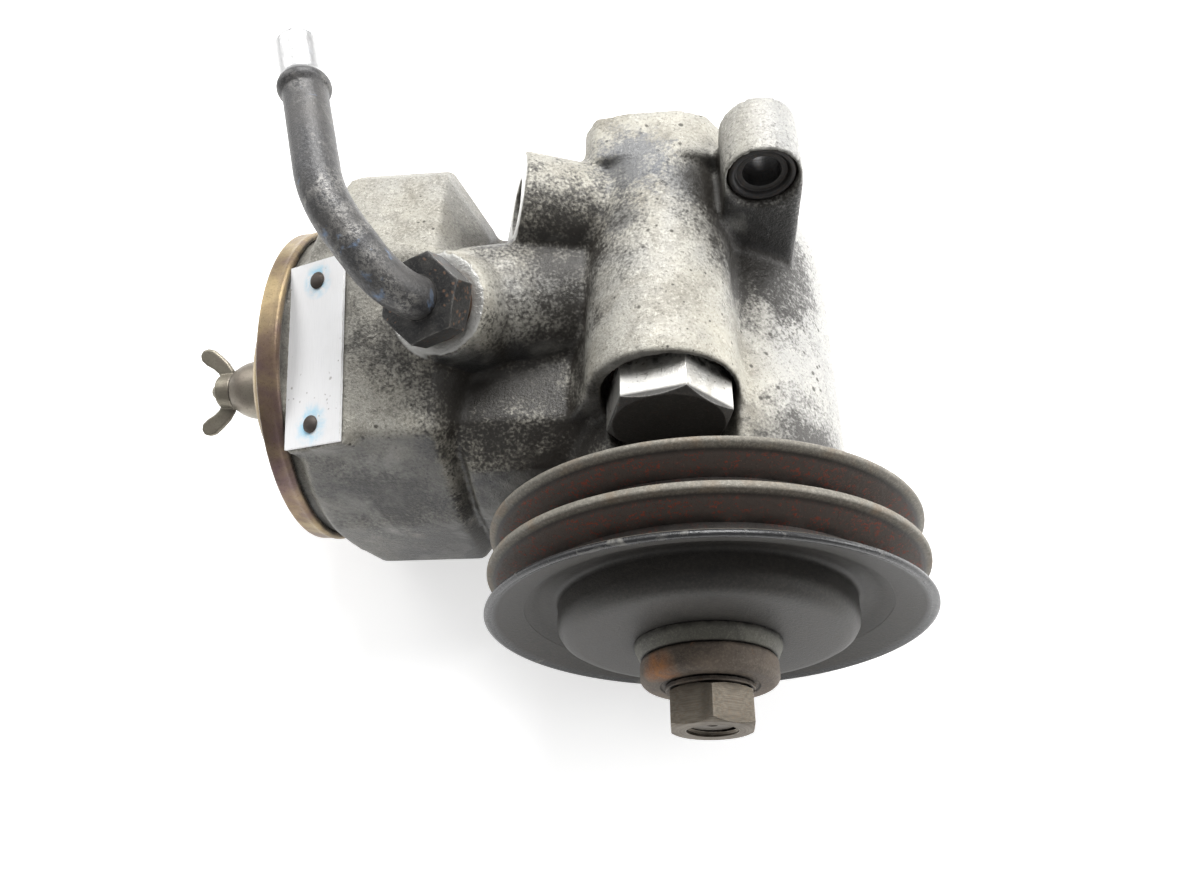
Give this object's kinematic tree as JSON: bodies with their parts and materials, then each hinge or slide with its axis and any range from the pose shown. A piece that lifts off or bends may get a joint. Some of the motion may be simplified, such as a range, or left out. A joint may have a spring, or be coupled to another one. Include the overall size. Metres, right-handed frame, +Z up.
{
  "type": "hydraulic power steering pump",
  "caption": "Vane-type hydraulic steering pump with built-in oil reservoir, lid with wing nut, two-groove belt pulley, return pipe and mounting ear.",
  "frame": {"origin": "on the drive shaft axis, in the middle plane of the two-groove pulley", "axes": "+Y along the drive shaft, from the pulley to the rear cover; -X along the reservoir to its lid; +Z up, to the side with the pipe, the ear and the rating plate"},
  "size_m": [0.2311, 0.1675, 0.1654],
  "materials": {
    "casting": "cast, weathered, oil stained",
    "plate_metal": "satin, blank",
    "rivet_metal": "dull",
    "bush_steel": "dark, dull",
    "pulley_steel": "black, worn lips, rust in the grooves",
    "collar_steel": "greenish grey, dull",
    "rusty_steel": "rusty",
    "nut_steel": "dull, stained",
    "ground_steel": "ground",
    "spring_steel": "dark",
    "plug_steel": "bright flats, dark oiled end",
    "bearing_steel": "polished",
    "cage_brass": "plain",
    "seal_rubber": "matt",
    "gasket_rubber": "matt",
    "sintered_iron": "ground",
    "bronze": "plain",
    "zinc_lid": "yellow zinc, stained brown",
    "zinc_nut": "dull yellow zinc",
    "union_steel": "blackened",
    "pipe_steel": "dark grey, scaled, bright worn end",
    "copper_washer": "dull",
    "filter_paper": "pleated paper"
  },
  "bodies": {
    "housing": {"pump_housing": "casting", "rating_plate": "plate_metal", "rating_plate_rivets": "rivet_metal", "ear_bush": "bush_steel", "bearing_outer_race": "bearing_steel", "bearing_circlip": "spring_steel", "shaft_seal": "seal_rubber", "cartridge_wave_spring": "spring_steel", "pressure_plate": "sintered_iron", "cartridge_o_rings": "seal_rubber", "cam_ring": "sintered_iron", "cartridge_dowels": "ground_steel", "end_cover": "sintered_iron", "rear_bush": "bronze", "end_cover_ring": "spring_steel", "valve_plug": "plug_steel", "valve_plug_washer": "copper_washer", "valve_spring": "spring_steel", "lid_stud": "zinc_nut", "filter_element": "filter_paper", "filter_cap": "zinc_nut", "filter_spring": "spring_steel", "filter_spring_retainer": "zinc_nut", "union_washer": "copper_washer", "return_union_nut": "union_steel", "return_pipe": "pipe_steel"},
    "shaft_assembly": {"pulley_front_flange": "pulley_steel", "pulley_middle_flange": "pulley_steel", "pulley_rear_flange": "pulley_steel", "pulley_drum": "pulley_steel", "pulley_dish": "pulley_steel", "pulley_hub": "pulley_steel", "pulley_collar": "collar_steel", "clamp_washer": "rusty_steel", "spring_washer": "rusty_steel", "pulley_nut": "nut_steel", "drive_shaft": "ground_steel", "pulley_key": "ground_steel", "rotor_circlip": "spring_steel", "bearing_inner_race": "bearing_steel", "rotor": "sintered_iron"},
    "ball_set": {"bearing_balls": "bearing_steel", "bearing_cage": "cage_brass"},
    "flow_valve": {"valve_piston": "ground_steel", "relief_valve_seat": "ground_steel"},
    "lid": {"reservoir_lid": "zinc_lid", "lid_gasket": "gasket_rubber", "lid_collar": "zinc_nut"},
    "wing_nut": {"wing_nut": "zinc_nut"},
    "vane_01": {"vane_01": "ground_steel"},
    "vane_02": {"vane_02": "ground_steel"},
    "vane_03": {"vane_03": "ground_steel"},
    "vane_04": {"vane_04": "ground_steel"},
    "vane_05": {"vane_05": "ground_steel"},
    "vane_06": {"vane_06": "ground_steel"},
    "vane_07": {"vane_07": "ground_steel"},
    "vane_08": {"vane_08": "ground_steel"},
    "vane_09": {"vane_09": "ground_steel"},
    "vane_10": {"vane_10": "ground_steel"}
  },
  "joints": [
    {"name": "shaft_spin", "type": "hinge", "parent": "housing", "child": "shaft_assembly", "pos_m": [0, 0, 0], "axis": [0, 1, 0], "continuous": true},
    {"name": "ball_set_orbit", "type": "hinge", "parent": "housing", "child": "ball_set", "pos_m": [0, 0, 0], "axis": [0, 1, 0], "continuous": true},
    {"name": "flow_valve_stroke", "type": "slide", "parent": "housing", "child": "flow_valve", "axis": [0, -1, 0], "range_m": [0, 0.008], "stiffness_N_per_m": 3000, "springref_m": -0.004, "deforming": ["valve_spring"]},
    {"name": "lid_lift", "type": "slide", "parent": "housing", "child": "lid", "axis": [-1, 0, 0], "range_m": [0, 0.05]},
    {"name": "wing_nut_turn", "type": "hinge", "parent": "lid", "child": "wing_nut", "pos_m": [0, 0.0742, 0], "axis": [-1, 0, 0], "continuous": true},
    {"name": "vane_01_slide", "type": "slide", "parent": "shaft_assembly", "child": "vane_01", "axis": [-0.9511, 0, -0.309], "range_m": [0, 0.0012]},
    {"name": "vane_02_slide", "type": "slide", "parent": "shaft_assembly", "child": "vane_02", "axis": [-0.5878, 0, -0.809], "range_m": [0, 0.0012]},
    {"name": "vane_03_slide", "type": "slide", "parent": "shaft_assembly", "child": "vane_03", "axis": [0, 0, -1], "range_m": [0, 0.0012]},
    {"name": "vane_04_slide", "type": "slide", "parent": "shaft_assembly", "child": "vane_04", "axis": [0.5878, 0, -0.809], "range_m": [0, 0.0012]},
    {"name": "vane_05_slide", "type": "slide", "parent": "shaft_assembly", "child": "vane_05", "axis": [0.9511, 0, -0.309], "range_m": [0, 0.0012]},
    {"name": "vane_06_slide", "type": "slide", "parent": "shaft_assembly", "child": "vane_06", "axis": [0.9511, 0, 0.309], "range_m": [0, 0.0012]},
    {"name": "vane_07_slide", "type": "slide", "parent": "shaft_assembly", "child": "vane_07", "axis": [0.5878, 0, 0.809], "range_m": [0, 0.0012]},
    {"name": "vane_08_slide", "type": "slide", "parent": "shaft_assembly", "child": "vane_08", "axis": [0, 0, 1], "range_m": [0, 0.0012]},
    {"name": "vane_09_slide", "type": "slide", "parent": "shaft_assembly", "child": "vane_09", "axis": [-0.5878, 0, 0.809], "range_m": [0, 0.0012]},
    {"name": "vane_10_slide", "type": "slide", "parent": "shaft_assembly", "child": "vane_10", "axis": [-0.9511, 0, 0.309], "range_m": [0, 0.0012]}
  ],
  "couplings": [
    {"joint": "ball_set_orbit", "follows": "shaft_spin", "ratio": 0.3807}
  ]
}
